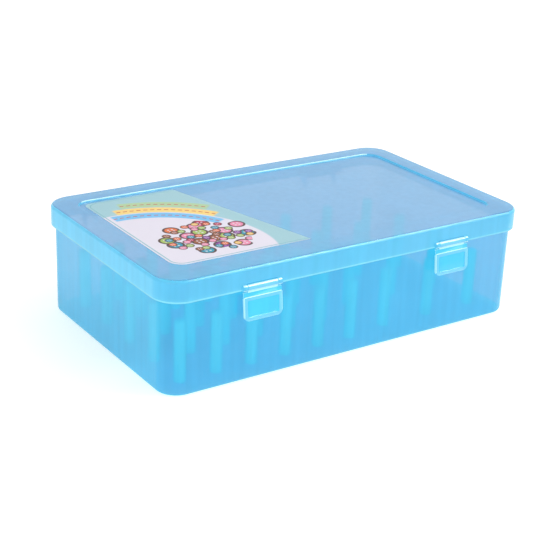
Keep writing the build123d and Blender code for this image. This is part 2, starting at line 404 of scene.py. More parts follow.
def rounded_rectangle(length, width, radius, lower_radius=None, middle=(0, 0)):
    """A rectangle with round corners. Its two lower corners may have another radius."""
    lower_radius = lower_radius or radius
    points = []
    quarters = ((1, 1, radius), (-1, 1, radius), (-1, -1, lower_radius), (1, -1, lower_radius))
    for turn, (x, y, corner_radius) in enumerate(quarters):
        corner = Vector((x * (length / 2 - corner_radius), y * (width / 2 - corner_radius)))
        points += arc(Vector(middle) + corner, corner_radius, 90 * turn, 90 * turn + 90)
    return points


def inset(outline, amount):
    """An anticlockwise outline moved inwards by an amount."""
    moved = []
    for index, point in enumerate(outline):
        before = (point - outline[index - 1]).normalized()
        after = (outline[(index + 1) % len(outline)] - point).normalized()
        inwards = Vector((-before.y - after.y, before.x + after.x)).normalized()
        cosine = max(inwards.dot(Vector((-before.y, before.x))), LEAST_COSINE)
        moved.append(point + inwards * amount / cosine)
    return moved


def layers(outline, profile):
    """The outline at each inset and height of a profile."""
    return [(inset(outline, amount), height) for amount, height in profile]


def tangent_angle(centre, radius, point, side):
    """Angle in degrees at which a line from a point touches a circle, on its left or right side."""
    towards = Vector(point) - Vector(centre)
    opening = math.acos(radius / towards.length)
    return math.degrees(math.atan2(towards.y, towards.x) + side * opening)


# Meshes


def stack(name, stacked, axes=RISING):
    """A closed mesh object that joins a row of outlines, each with its own height."""
    mesh = bmesh.new()
    rows = [
        [mesh.verts.new(axes @ Vector((point.x, point.y, height))) for point in outline]
        for outline, height in stacked
    ]
    for lower, upper in zip(rows, rows[1:]):
        for index in range(len(lower)):
            after = (index + 1) % len(lower)
            mesh.faces.new((lower[index], lower[after], upper[after], upper[index]))
    mesh.faces.new(reversed(rows[0]))
    mesh.faces.new(rows[-1])
    bmesh.ops.recalc_face_normals(mesh, faces=mesh.faces)
    return to_object(name, mesh)


def to_object(name, mesh):
    """An object of the scene that takes over a mesh."""
    data = bpy.data.meshes.new(name)
    mesh.to_mesh(data)
    mesh.free()
    made = bpy.data.objects.new(name, data)
    bpy.context.scene.collection.objects.link(made)
    return made


def prism(name, outline, x, length, edge=0.0):
    """An outline seen from the end of the box, drawn out along X, with bevelled ends."""
    low, high = x - length / 2, x + length / 2
    if edge == 0.0:
        return stack(name, [(outline, low), (outline, high)], ACROSS)
    bulge = 0.3 * edge
    ends = [(edge, low), (bulge, low + bulge), (0.0, low + edge)]
    ends += [(0.0, high - edge), (bulge, high - bulge), (edge, high)]
    return stack(name, layers(outline, ends), ACROSS)


def rod(name, middle, radius, x, length, edge=0.0):
    """A round rod along X, at a place seen from the end of the box."""
    return prism(name, arc(middle, radius, 0, 360, 4 * ARC_STEPS)[:-1], x, length, edge)


def combine(piece, tools, operation):
    """Adds solids to a piece, or cuts them away, and deletes them."""
    for tool in tools:
        modifier = piece.modifiers.new("combine", "BOOLEAN")
        modifier.operation = operation
        modifier.solver = "EXACT"
        modifier.object = tool
        bpy.context.view_layer.update()
        evaluated = piece.evaluated_get(bpy.context.evaluated_depsgraph_get())
        data = bpy.data.meshes.new_from_object(evaluated)
        piece.modifiers.clear()
        piece.data = data
        bpy.data.objects.remove(tool)


def slice_at(piece, height):
    """Divides the faces of a piece where they cross a height, and keeps both sides."""
    mesh = bmesh.new()
    mesh.from_mesh(piece.data)
    everything = mesh.verts[:] + mesh.edges[:] + mesh.faces[:]
    bmesh.ops.bisect_plane(
        mesh, geom=everything, plane_co=(0, 0, height), plane_no=(0, 0, 1), dist=TOUCH
    )
    mesh.to_mesh(piece.data)
    mesh.free()


def merge(name, parts):
    """One object that holds several closed solids."""
    mesh = bmesh.new()
    for part in parts:
        mesh.from_mesh(part.data)
        bpy.data.objects.remove(part)
    return to_object(name, mesh)


def finish_piece(piece, materials, body, nodes, chooser=None):
    """Smooths a piece, gives it its materials, ties it to its body and hides the imported nodes
    that it stands in for.

    The chooser gives the number of a face's material from the face's middle.
    """
    piece.data.materials.clear()
    for material in materials:
        piece.data.materials.append(material)
    if chooser:
        for face in piece.data.polygons:
            face.material_index = chooser(face.center)
    piece.data.shade_smooth()
    piece.data.set_sharp_from_angle(angle=SMOOTH_ANGLE)
    weighted = piece.modifiers.new("flat faces stay flat", "WEIGHTED_NORMAL")
    weighted.keep_sharp = True
    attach(piece, body)
    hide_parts(*nodes)


# Materials


def new_material(name):
    """An empty node material."""
    material = bpy.data.materials.new(name)
    material.use_nodes = True
    material.node_tree.nodes.clear()
    return material, material.node_tree


def node(tree, kind, inputs=None, **options):
    """Adds a shader node. Each input is a value or another node's output."""
    made = tree.nodes.new("ShaderNode" + kind)
    for option, value in options.items():
        setattr(made, option, value)
    for key, value in (inputs or {}).items():
        if isinstance(value, NodeSocket):
            tree.links.new(value, made.inputs[key])
        else:
            made.inputs[key].default_value = value
    return made


def noise(tree, scale, detail=2.0, stretch=(1, 1, 1)):
    """Noise in the piece's own coordinates, with a scale in features per metre.

    The stretch makes it finer or coarser along each axis.
    """
    place = node(tree, "TexCoord").outputs["Object"]
    place = vector_sum(tree, "MULTIPLY", place, stretch)
    inputs = {"Vector": place, "Scale": scale, "Detail": detail}
    return node(tree, "TexNoise", inputs).outputs["Fac"]


def map_range(tree, value, start, end, low=0.0, high=1.0):
    """A value mapped from one range to another, and kept in it."""
    limits = {"Value": value, "From Min": start, "From Max": end, "To Min": low, "To Max": high}
    return node(tree, "MapRange", limits).outputs["Result"]


def spread(tree, value, low=0.0, high=1.0):
    """Maps noise, which stays near the middle, to a range."""
    return map_range(tree, value, 0.3, 0.7, low, high)


def blend(tree, factor, first, second):
    """A colour between two colours, each three numbers or another node's output."""
    tones = [tone if isinstance(tone, NodeSocket) else (*tone, 1) for tone in (first, second)]
    inputs = {0: factor, 6: tones[0], 7: tones[1]}
    return node(tree, "Mix", inputs, data_type="RGBA").outputs[2]


def pick_colour(tree, factor, colours):
    """One of a row of colours, by a number from 0 to 1."""
    made = node(tree, "ValToRGB", {"Fac": factor})
    ramp = made.color_ramp
    ramp.interpolation = "CONSTANT"
    for index, tone in enumerate(colours):
        position = index / len(colours)
        element = ramp.elements[index] if index < 2 else ramp.elements.new(position)
        element.position = position
        element.color = (*tone, 1)
    return made.outputs["Color"]


def mix_shaders(tree, factor, first, second):
    """Two surfaces, mixed by a factor."""
    return node(tree, "MixShader", {0: factor, 1: first, 2: second}).outputs["Shader"]


def clear_surface(tree, tint):
    """A surface that lets tinted light straight through."""
    return node(tree, "BsdfTransparent", {"Color": (*tint, 1)}).outputs["BSDF"]


def principled(tree, tone, roughness, specular=0.5, **more):
    """A surface that scatters a colour and shines a little."""
    inputs = {"Base Color": tone, "Roughness": roughness, "Specular IOR Level": specular, **more}
    return node(tree, "BsdfPrincipled", inputs).outputs["BSDF"]


def calculate(tree, operation, *values):
    """The result of a sum on numbers or other nodes' outputs."""
    return node(tree, "Math", dict(enumerate(values)), operation=operation).outputs["Value"]


def vector_sum(tree, operation, *values):
    """The result of a sum on vectors or other nodes' outputs."""
    made = node(tree, "VectorMath", dict(enumerate(values)), operation=operation)
    return made.outputs["Value" if operation in ("LENGTH", "DISTANCE") else "Vector"]


def within(tree, value, low, high, soft=INK_SOFT):
    """1 where a value lies between two limits, with a soft change at each."""
    rising = map_range(tree, value, low - soft, low + soft)
    falling = map_range(tree, value, high + soft, high - soft)
    return calculate(tree, "MULTIPLY", rising, falling)


def any_ray(tree, kinds):
    """1 for a ray of any of these kinds."""
    path = node(tree, "LightPath").outputs
    found = path[kinds[0]]
    for kind in kinds[1:]:
        found = calculate(tree, "MAXIMUM", found, path[kind])
    return found


def through_haze(tree, haze, form):
    """How much a form hides.

    A wall hides more where it is seen at a slant, and a rod less towards its thin sides.
    """
    if form == "SKIN":
        return haze
    facing = node(tree, "LayerWeight", {"Blend": 0.5}).outputs["Facing"]
    straight = calculate(tree, "MAXIMUM", calculate(tree, "SUBTRACT", 1.0, facing), 0.1)
    if form == "WALL":
        straight = calculate(tree, "DIVIDE", 1.0, straight)
    clear = calculate(tree, "POWER", 1.0 - haze, straight)
    return calculate(tree, "SUBTRACT", 1.0, clear)


def see_through_plastic(name):
    """Tinted plastic that lets some light through, scatters some and shines on the outside."""
    settings = bpy.context.scene.thread_box.plastic
    tint, body, haze = (getattr(settings, f"{name}_{part}") for part in ("tint", "body", "haze"))
    gloss, roughness, form = PLASTICS[name][3:]
    material, tree = new_material(name)
    flow = noise(tree, FLOW_SCALE, 3.0)
    streaks = noise(tree, STREAK_SCALE, 1.0, STREAK_STRETCH)
    fine = noise(tree, FINE_SCALE)
    bumps = {"Strength": 0.1, "Distance": BUMP_DEPTH, "Height": flow}
    bump = node(tree, "Bump", bumps).outputs["Normal"]
    deep = tuple(DEEP_SHADE * channel for channel in body)
    halves = [spread(tree, pattern, 0.0, 0.5) for pattern in (flow, streaks)]
    tone = blend(tree, calculate(tree, "ADD", *halves), deep, body)
    solid = principled(tree, tone, spread(tree, fine, 0.35, 0.5), specular=0.1, Normal=bump)
    surface = mix_shaders(tree, through_haze(tree, haze, form), clear_surface(tree, tint), solid)
    if gloss:
        surface = shine(tree, surface, gloss, spread(tree, flow, 0.8, 1.2), roughness, bump)
    lit = mix_shaders(tree, any_ray(tree, LIGHT_RAYS), surface, clear_surface(tree, LIGHT_TINT))
    node(tree, "OutputMaterial", {"Surface": lit})
    return material


def shine(tree, surface, gloss, change, roughness, bump):
    """Adds the shine of a smooth outside to a plastic."""
    fresnel = node(tree, "Fresnel", {"IOR": gloss, "Normal": bump}).outputs["Fac"]
    back = node(tree, "NewGeometry").outputs["Backfacing"]
    amount = calculate(tree, "MULTIPLY", fresnel, calculate(tree, "SUBTRACT", 1.0, back))
    polish = calculate(tree, "MULTIPLY", change, roughness)
    mirror = node(tree, "BsdfGlossy", {"Roughness": polish, "Normal": bump}).outputs["BSDF"]
    return mix_shaders(tree, amount, surface, mirror)


def plastics(*names):
    """The see-through plastics of these names."""
    return [see_through_plastic(name) for name in names]


def depth_in(place, length, width, radius):
    """How far a place lies behind the outline of a shell with round corners."""
    over_x = max(abs(place.x) - length / 2 + radius, 0.0)
    over_y = max(abs(place.y) - width / 2 + radius, 0.0)
    return radius - math.hypot(over_x, over_y)


def on_bar_highlight(place):
    """True on the two lines along a latch's bar where a paler plastic paints the highlights that
    the lamps would leave on its edges.
    """
    angle = math.degrees(math.atan2(place.z - LATCH_Z, LATCH_Y - place.y))
    return any(low < angle < high for low, high in BAR_HIGHLIGHTS)


# Operators


class THREADBOX_OT_tray(Operator):
    """Build the deep tray with its catches and hinge ears"""

    bl_idname = "threadbox.tray"
    bl_label = "Tray"

    def execute(self, context):
        settings = context.scene.thread_box.shell
        wall, edge, fillet = settings.wall, settings.tray_edge, settings.tray_fillet
        rim = settings.rim_edge
        radius = settings.corner_radius - TRAY_INSET
        outline = rounded_rectangle(TRAY_LENGTH, TRAY_WIDTH, radius)
        profile = arc((edge, edge), edge, 270, 180, EDGE_STEPS)
        profile += arc((rim, RIM_TOP - rim), rim, 180, 90, RIM_STEPS)
        profile += arc((wall - rim, RIM_TOP - rim), rim, 90, 0, RIM_STEPS)
        profile += arc((wall + fillet, TRAY_FLOOR + fillet), fillet, 180, 270, FILLET_STEPS)
        tray = stack("tray_shell", layers(outline, profile))
        combine(tray, [self.catch(axis.x) for axis in LATCH_AXES.values()], "UNION")
        reach = KNUCKLE_WIDTH / 2 + KNUCKLE_GAP + EAR_WIDTH / 2
        places = [x + end * reach for x in (PIN_X, -PIN_X) for end in (-1, 1)]
        combine(tray, [self.ear(x, wall) for x in places], "UNION")
        length = 2 * (PIN_HIGH.x - PIN_LOW.x)
        bores = [
            rod("bore", HINGE_AXIS.yz, PIN_RADIUS + PIN_PRESS, x, length)
            for x in (PIN_X, -PIN_X)
        ]
        combine(tray, bores, "DIFFERENCE")
        materials = plastics("tray_plastic", "tray_inner_plastic", "tray_foot_plastic")

        def choose(place):
            """The lining for the faces inside the tray, and the paler plastic round its bottom that
            paints the light line along that edge.
            """
            # Painted highlight band round the bottom
            if TOUCH < place.z < FOOT_LINE:
                return 2
            deep = depth_in(place, TRAY_LENGTH, TRAY_WIDTH, radius) > wall / 2
            return int(deep and place.z > TRAY_FLOOR / 2)

        finish_piece(tray, materials, "tray", ["tray"], choose)
        return {"FINISHED"}

    def catch(self, x):
        """The ridge on the front wall that a latch snaps under."""
        front = -TRAY_WIDTH / 2 - CATCH_DEPTH
        back = -TRAY_WIDTH / 2 + CATCH_ROOT
        outline = corners(
            (back, CATCH_TOP),
            (front + CATCH_DEPTH / 2, CATCH_TOP),
            (front, CATCH_BOTTOM + CATCH_HEIGHT / 3),
            (front, CATCH_BOTTOM),
            (back, CATCH_BOTTOM),
        )
        return prism("catch", outline, x, CATCH_WIDTH, FINE_BEVEL)

    def ear(self, x, wall):
        """One of the four ears that hold the hinge pins."""
        axis = HINGE_AXIS.yz
        root = TRAY_WIDTH / 2 - wall / 2
        foot = Vector((root, axis.y - EAR_WEB))
        start = tangent_angle(axis, HINGE_RADIUS, foot, 1)
        outline = corners((root, axis.y), foot)
        outline += arc(axis, HINGE_RADIUS, start, 180, 2 * ARC_STEPS)
        return prism("ear", outline, x, EAR_WIDTH, BEVEL)


class THREADBOX_OT_lid(Operator):
    """Build the lid with its sunken panel, latch lugs and hinge knuckles"""

    bl_idname = "threadbox.lid"
    bl_label = "Lid"

    def execute(self, context):
        settings = context.scene.thread_box.shell
        lid = self.shell(settings)
        added, notches, bores = [], [], []
        half_notch = LATCH_WIDTH / 2 - LUG_WIDTH
        length = LATCH_WIDTH + 2 * BORE_OVERRUN
        for axis in LATCH_AXES.values():
            notches.append(self.notch(axis.x, half_notch))
            bores.append(rod("bore", axis.yz, STUB_RADIUS + STUB_FIT, axis.x, length))
            for end in (-1, 1):
                added.append(self.lug(axis.x + end * (half_notch + LUG_WIDTH / 2), settings.wall))
        length = KNUCKLE_WIDTH + 2 * BORE_OVERRUN
        for x in (-PIN_X, PIN_X):
            added.append(self.knuckle(x, settings.wall))
            bores.append(rod("bore", HINGE_AXIS.yz, PIN_RADIUS + PIN_SLIP, x, length))
        combine(lid, notches, "DIFFERENCE")
        combine(lid, added, "UNION")
        combine(lid, bores, "DIFFERENCE")
        # The cut at the top of the painted highlight band along the skirt's lower edge
        slice_at(lid, SKIRT_BOTTOM + HEM_HEIGHT)
        materials = plastics(
            "lid_plastic", "skirt_plastic", "edge_plastic", "lid_inner_plastic", "hem_plastic"
        )

        def choose(place):
            """The plastic of a face: roof, skirt, painted highlight lines, lining, or the hem band
            that paints the light line along the skirt's lower edge.
            """
            depth = depth_in(place, LID_LENGTH, LID_WIDTH, settings.corner_radius)
            # Lugs: painted highlight lines along the bar, the rest in skirt plastic
            if place.y < -LID_WIDTH / 2 - LUG_CLEAR:
                return 2 if on_bar_highlight(place) else 1
            # The hem band: painted highlight along the skirt's lower edge
            if place.z < SKIRT_BOTTOM + HEM_HEIGHT:
                return 4
            if depth > settings.wall / 2 and place.z < PANEL_FLOOR - LINING_DROP:
                return 3
            on_step = PANEL_FLOOR + STEP_MARGIN < place.z < LID_TOP - STEP_MARGIN
            if on_step and depth > settings.lid_edge:
                # Painted highlight along the top of the panel's back step; the other steps in skirt
                # plastic
                at_back = place.y > LID_WIDTH / 2 - settings.panel_margin - BACK_MARGIN
                return 2 if at_back and place.z > LID_TOP - STEP_LINE else 1
            return int(depth < settings.lid_edge and place.z < LID_TOP - SKIRT_DROP)

        finish_piece(lid, materials, "lid", ["lid"], choose)
        return {"FINISHED"}

    def shell(self, settings):
        """The cap itself, from under its panel round the skirt to the panel's floor."""
        wall, edge, fillet = settings.wall, settings.lid_edge, settings.lid_fillet
        rim, step = settings.rim_edge, settings.panel_edge
        roof = LID_TOP - wall
        outer = rounded_rectangle(LID_LENGTH, LID_WIDTH, settings.corner_radius)
        panel = rounded_rectangle(
            LID_LENGTH - 2 * settings.panel_margin,
            LID_WIDTH - 2 * settings.panel_margin,
            settings.panel_radius,
        )
        lap = -settings.panel_lap
        under = layers(panel, [(lap + step, PANEL_FLOOR - wall), (lap, PANEL_FLOOR - wall + step)])
        under += layers(panel, [(lap, roof)])
        profile = arc((wall + fillet, roof - fillet), fillet, 90, 180, FILLET_STEPS)
        profile += arc((wall - rim, SKIRT_BOTTOM + rim), rim, 0, -90, RIM_STEPS)
        profile += arc((rim, SKIRT_BOTTOM + rim), rim, -90, -180, RIM_STEPS)
        profile += arc((edge, LID_TOP - edge), edge, 180, 90, EDGE_STEPS)
        sunk = arc((-step, LID_TOP - step), step, 90, 0, RIM_STEPS)
        sunk += arc((step, PANEL_FLOOR + step), step, 180, 270, RIM_STEPS)
        return stack("lid_shell", under + layers(outer, profile) + layers(panel, sunk))

    def notch(self, x, half):
        """What is cut from the skirt for a latch's barrel."""
        top = LATCH_Z + BARREL_RADIUS + NOTCH_GAP
        outline = rounded_rectangle(2 * half, NOTCH_DEPTH, FINE_BEVEL, middle=(x, -LID_WIDTH / 2))
        return stack("notch", [(outline, SKIRT_BOTTOM - NOTCH_OVERRUN), (outline, top)])

    def lug(self, x, wall):
        """One of the lugs that hold a latch's stub pins."""
        axis = Vector((LATCH_Y, LATCH_Z))
        root = -LID_WIDTH / 2 + wall / 2
        outline = corners((root, axis.y + BARREL_RADIUS))
        outline += arc(axis, BARREL_RADIUS, 90, 360, 2 * ARC_STEPS)
        outline += corners((root, axis.y))
        return prism("lug", outline, x, LUG_WIDTH, SMALL_BEVEL)

    def knuckle(self, x, wall):
        """The knuckle of a hinge on its arm from the back of the skirt."""
        axis = HINGE_AXIS.yz
        root = LID_WIDTH / 2 - wall / 2
        shoulder = Vector((root, SKIRT_BOTTOM + KNUCKLE_ARM))
        end = tangent_angle(axis, HINGE_RADIUS, shoulder, -1) + 360
        outline = corners(shoulder, (root, SKIRT_BOTTOM), (LID_WIDTH / 2, SKIRT_BOTTOM))
        outline += arc(axis, HINGE_RADIUS, 180, end, 2 * ARC_STEPS)
        return prism("knuckle", outline, x, KNUCKLE_WIDTH, BEVEL)


class THREADBOX_OT_latches(Operator):
    """Build the two snap latches"""

    bl_idname = "threadbox.latches"
    bl_label = "Latches"

    def execute(self, context):
        settings = context.scene.thread_box.latch
        materials = plastics("latch_plastic", "latch_border_plastic", "latch_edge_plastic")
        for side, axis in LATCH_AXES.items():
            name = f"latch_{side}"
            axes, height = self.plate_axes(axis.x)
            inwards = axes.inverted()

            def choose(place, inwards=inwards, half_height=height / 2):
                """The plastic of a face: sunken middle and band, border, or the paler plastic that
                paints highlight lines on edges.
                """
                local = inwards @ place
                # Painted highlight lines along the bar, the rest of it in border plastic
                if place.z > PLATE_TOP:
                    return 2 if on_bar_highlight(place) else 1
                # The band under the bar, with a painted highlight along its top
                if local.y > half_height + STEP_MARGIN:
                    return 2 if place.z > PLATE_TOP - BAND_TOP_LINE else 0
                # A painted highlight round the plate's edges, then the border
                from_edge = min(LATCH_WIDTH / 2 - abs(local.x), half_height - abs(local.y))
                return 2 if from_edge < settings.edge else int(from_edge < settings.border)

            latch = self.plate(f"snap_{name}", axes, height, settings)
            combine(latch, self.barrel(axis.x, settings), "UNION")
            finish_piece(latch, materials, name, [name], choose)
        return {"FINISHED"}

    def front(self, height):
        """The Y of the plate's front face at a height."""
        top = LATCH_Y - BARREL_RADIUS + LATCH_STEP
        return top - LATCH_LEAN * (LATCH_Z - height) / (LATCH_Z - PLATE_BOTTOM)

    def plate_axes(self, x):
        """Axes in the middle of the plate's face, and the plate's height."""
        foot = Vector((x, self.front(PLATE_BOTTOM), PLATE_BOTTOM))
        top = Vector((x, self.front(FACE_TOP), FACE_TOP))
        up = (top - foot).normalized()
        across = Vector((1, 0, 0))
        axes = Matrix((across, up, across.cross(up))).transposed().to_4x4()
        axes.translation = (foot + top) / 2
        return axes, (top - foot).length

    def plate(self, name, axes, height, settings):
        """The leaning plate with its raised border and sunken middle."""
        edge, sink, border = settings.edge, settings.sink, settings.border
        face_height = height - LATCH_BAND_GAP
        shift = (0, LATCH_BAND_GAP / 2)
        outer = rounded_rectangle(
            LATCH_WIDTH, face_height, FACE_CORNER, settings.corner_radius, shift
        )
        middle = rounded_rectangle(
            LATCH_WIDTH - 2 * border, height - 2 * border, SUNK_CORNER, SUNK_FOOT_CORNER
        )
        thick = settings.plate * FACE_SHARE
        rim = arc((edge, edge - thick), edge, 270, 180, RIM_STEPS)
        rim += arc((edge, -edge), edge, 180, 90, RIM_STEPS)
        sunk = arc((-BEVEL, -BEVEL), BEVEL, 90, 0, RIM_STEPS)
        sunk += arc((BEVEL, BEVEL - sink), BEVEL, 180, 270, RIM_STEPS)
        return stack(name, layers(outer, rim) + layers(middle, sunk), axes)

    def barrel(self, x, settings):
        """The barrel, its neck, its stub pins and the bead that snaps under the catch."""
        length = LATCH_WIDTH - 2 * (LUG_WIDTH + LUG_GAP)
        plate = settings.plate
        low = FACE_TOP - settings.border / 2
        band = corners(
            (self.front(PLATE_TOP) + LATCH_BAND_SINK, PLATE_TOP),
            (self.front(low) + LATCH_BAND_SINK, low),
            (self.front(low) + plate, low),
            (self.front(PLATE_TOP) + plate, PLATE_TOP),
        )
        brow = self.front(LATCH_Z) + LATCH_BAND_SINK
        neck = corners((brow, LATCH_Z), *band, (LATCH_Y, LATCH_Z))
        tip = -TRAY_WIDTH / 2 - CATCH_DEPTH - CATCH_GAP
        top = CATCH_BOTTOM - CATCH_GAP
        bottom = top - BEAD_HEIGHT
        bead = corners(
            (self.front(top) + plate / 2, top),
            (self.front(bottom) + plate / 2, bottom),
            (self.front(bottom) + plate, bottom),
            (tip, top - BEAD_HEIGHT / 2),
            (tip, top),
        )
        axis = (LATCH_Y, LATCH_Z)
        return [
            rod("barrel", axis, BARREL_RADIUS, x, length, SMALL_BEVEL),
            prism("band", band, x, LATCH_WIDTH, SMALL_BEVEL),
            prism("neck", neck, x, length),
            rod("stub_pins", axis, STUB_RADIUS, x, LATCH_WIDTH),
            prism("bead", bead, x, BEAD_WIDTH, FINE_BEVEL),
        ]


class THREADBOX_OT_pegs(Operator):
    """Build the pegs that the thread reels stand on"""

    bl_idname = "threadbox.pegs"
    bl_label = "Pegs"

    def execute(self, context):
        settings = context.scene.thread_box.peg
        materials = plastics("peg_plastic")
        radius = (PEG_HIGH.x - PEG_LOW.x) / 2
        for name in PEG_NODES:
            low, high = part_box(name)
            rows = settings.rows if name.startswith("small") else 1
            pitch = (high.y - low.y - 2 * radius) / max(rows - 1, 1)
            pegs = [
                self.peg(((low.x + high.x) / 2, low.y + radius + row * pitch), radius, settings)
                for row in range(rows)
            ]
            piece = merge(name + "_moulded", pegs)
            finish_piece(piece, materials, "tray", [name])
        return {"FINISHED"}

    def peg(self, middle, radius, settings):
        """One peg with a rounded tip."""
        edge = settings.tip_edge
        outline = arc(middle, radius, 0, 360, PEG_SIDES)[:-1]
        profile = [(0.0, PEG_LOW.z + SEAT_GAP)]
        profile += arc((edge, PEG_HIGH.z - edge), edge, 180, 90, FILLET_STEPS)
        return stack("peg", layers(outline, profile))


class THREADBOX_OT_hinge_pins(Operator):
    """Build the two hinge pins"""

    bl_idname = "threadbox.hinge_pins"
    bl_label = "Hinge Pins"

    def execute(self, context):
        settings = context.scene.thread_box.peg
        materials = plastics("pin_plastic")
        for side in ("left", "right"):
            name = f"hinge_pin_{side}"
            low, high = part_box(name)
            place = (low.x + high.x) / 2, high.x - low.x
            pin = rod(name + "_rod", HINGE_AXIS.yz, PIN_RADIUS, *place, settings.pin_edge)
            finish_piece(pin, materials, "tray", [name])
        return {"FINISHED"}


class THREADBOX_OT_card(Operator):
    """Build the printed card on the lid's sunken panel"""

    bl_idname = "threadbox.card"
    bl_label = "Card"

    def execute(self, context):
        settings = context.scene.thread_box.card
        left, front, back = CARD_LOW.x, CARD_LOW.y, CARD_HIGH.y
        outline = corners(
            (left + settings.front_length, front), (left + settings.back_length, back)
        )
        radius = settings.back_radius
        outline += arc((left + radius, back - radius), radius, 90, 180)
        radius = settings.front_radius
        outline += arc((left + radius, front + radius), radius, 180, 270)
        card = stack("card", [(outline, CARD_LOW.z + SEAT_GAP), (outline, CARD_HIGH.z)])
        papers = [self.print_material(settings), self.back_material(settings)]

        def choose(place):
            """The print on top, and bare paper on the edge and underneath."""
            return int(place.z < CARD_HIGH.z - SEAT_GAP)

        finish_piece(card, papers, "lid", ["label_card"], choose)
        return {"FINISHED"}

    def back_material(self, settings):
        """The bare paper of the card's back and edge."""
        material, tree = new_material("card_back")
        tone = spread(tree, noise(tree, BACK_SCALE))
        shade = tuple(BACK_SHADE * channel for channel in settings.paper)
        tone = blend(tree, tone, shade, settings.paper)
        paper = principled(tree, tone, spread(tree, noise(tree, PAPER_SCALE), 0.5, 0.65))
        node(tree, "OutputMaterial", {"Surface": paper})
        return material

    def print_material(self, settings):
        """Paper with a mint corner, three curved ribbons, stitches and a heap of buttons."""
        material, tree = new_material("printed_card")
        place = node(tree, "TexCoord").outputs["Object"]
        from_corner = vector_sum(tree, "SUBTRACT", place, CARD_LOW)
        page = vector_sum(tree, "MULTIPLY", from_corner, (1, 1, 0))
        turn = vector_sum(tree, "SUBTRACT", page, SWEEP_MIDDLE)
        radius = vector_sum(tree, "LENGTH", turn)
        sides = node(tree, "SeparateXYZ", {"Vector": turn}).outputs
        angle = calculate(tree, "ARCTAN2", sides["Y"], sides["X"])
        corner = within(tree, radius, SWEEP_RADIUS, 1.0, MINT_SOFT)
        tone = blend(tree, corner, settings.paper, settings.mint)
        inks = (settings.sky, settings.sun, settings.leaf)
        for index, (ink, angles) in enumerate(zip(inks, RIBBON_ANGLES)):
            low = SWEEP_RADIUS + (index - 1) * (RIBBON_WIDTH + RIBBON_GAP)
            middle = low + RIBBON_WIDTH / 2
            across = within(tree, radius, low, low + RIBBON_WIDTH)
            along = within(tree, angle, *map(math.radians, angles), 0.01)
            tone = blend(tree, calculate(tree, "MULTIPLY", across, along), tone, ink)
            tone = self.stitches(tree, radius, angle, middle, along, tone, settings)
        for pitch, size_share in BUTTON_SIZES:
            tone = self.buttons(tree, page, pitch, size_share, tone)
        tone = blend(tree, self.edge_line(tree, page, settings), tone, settings.line)
        roughness = spread(tree, noise(tree, PAPER_SCALE), 0.4, 0.55)
        paper = principled(tree, tone, roughness, specular=0.15)
        node(tree, "OutputMaterial", {"Surface": paper})
        return material

    def edge_line(self, tree, page, settings):
        """1 on the thin line along the card's left, front and back edges."""
        axes = node(tree, "SeparateXYZ", {"Vector": page}).outputs
        from_back = calculate(tree, "SUBTRACT", CARD_HIGH.y - CARD_LOW.y, axes["Y"])
        from_end = calculate(tree, "MINIMUM", axes["Y"], from_back)
        radius = settings.front_radius
        short = [
            calculate(tree, "MAXIMUM", calculate(tree, "SUBTRACT", radius, distance), 0.0)
            for distance in (axes["X"], from_end)
        ]
        way = node(tree, "CombineXYZ", dict(zip("XY", short))).outputs["Vector"]
        from_round = vector_sum(tree, "LENGTH", way)
        from_edge = calculate(tree, "SUBTRACT", radius, from_round)
        return within(tree, from_edge, EDGE_LINE_INSET, EDGE_LINE_INSET + EDGE_LINE_WIDTH)

    def stitches(self, tree, radius, angle, place, along, tone, settings):
        """Adds a row of dashes along a ribbon."""
        run = calculate(tree, "MULTIPLY", angle, place / STITCH_PITCH)
        dash = within(tree, calculate(tree, "FRACT", run), *DASH, 0.05)
        line = within(tree, radius, place - STITCH_WIDTH / 2, place + STITCH_WIDTH / 2)
        inked = calculate(tree, "MULTIPLY", calculate(tree, "MULTIPLY", dash, line), along)
        return blend(tree, inked, tone, settings.stitch)

    def buttons(self, tree, page, pitch, size_share, tone):
        """Adds a heap of round buttons, each with a rim and four holes."""
        inputs = {"Vector": page, "Scale": 1 / pitch, "Randomness": 0.7}
        cells = node(tree, "TexVoronoi", inputs, voronoi_dimensions="2D").outputs
        from_heap = vector_sum(tree, "SUBTRACT", cells["Position"], HEAP_MIDDLE)
        reach = vector_sum(tree, "LENGTH", vector_sum(tree, "DIVIDE", from_heap, HEAP_REACH))
        from_middle = vector_sum(tree, "SUBTRACT", page, cells["Position"])
        away = vector_sum(tree, "LENGTH", from_middle)
        full = size_share * pitch
        pick = node(tree, "SeparateColor", {"Color": cells["Color"]}).outputs["Red"]
        ink = pick_colour(tree, pick, BUTTON_COLOURS)
        rim = within(tree, away, RIM_SHARE * full, 1.0)
        shaded = blend(tree, rim, ink, BUTTON_RIM)
        mirrored = vector_sum(tree, "ABSOLUTE", from_middle)
        hole_place = (HOLE_PLACE * full, HOLE_PLACE * full, 0)
        hole = vector_sum(tree, "DISTANCE", mirrored, hole_place)
        open_hole = within(tree, hole, -1.0, HOLE_SHARE * full)
        shaded = blend(tree, open_hole, shaded, BUTTON_HOLE)
        inside = within(tree, away, -1.0, full)
        in_heap = calculate(tree, "LESS_THAN", reach, 1.0)
        return blend(tree, calculate(tree, "MULTIPLY", inside, in_heap), tone, shaded)


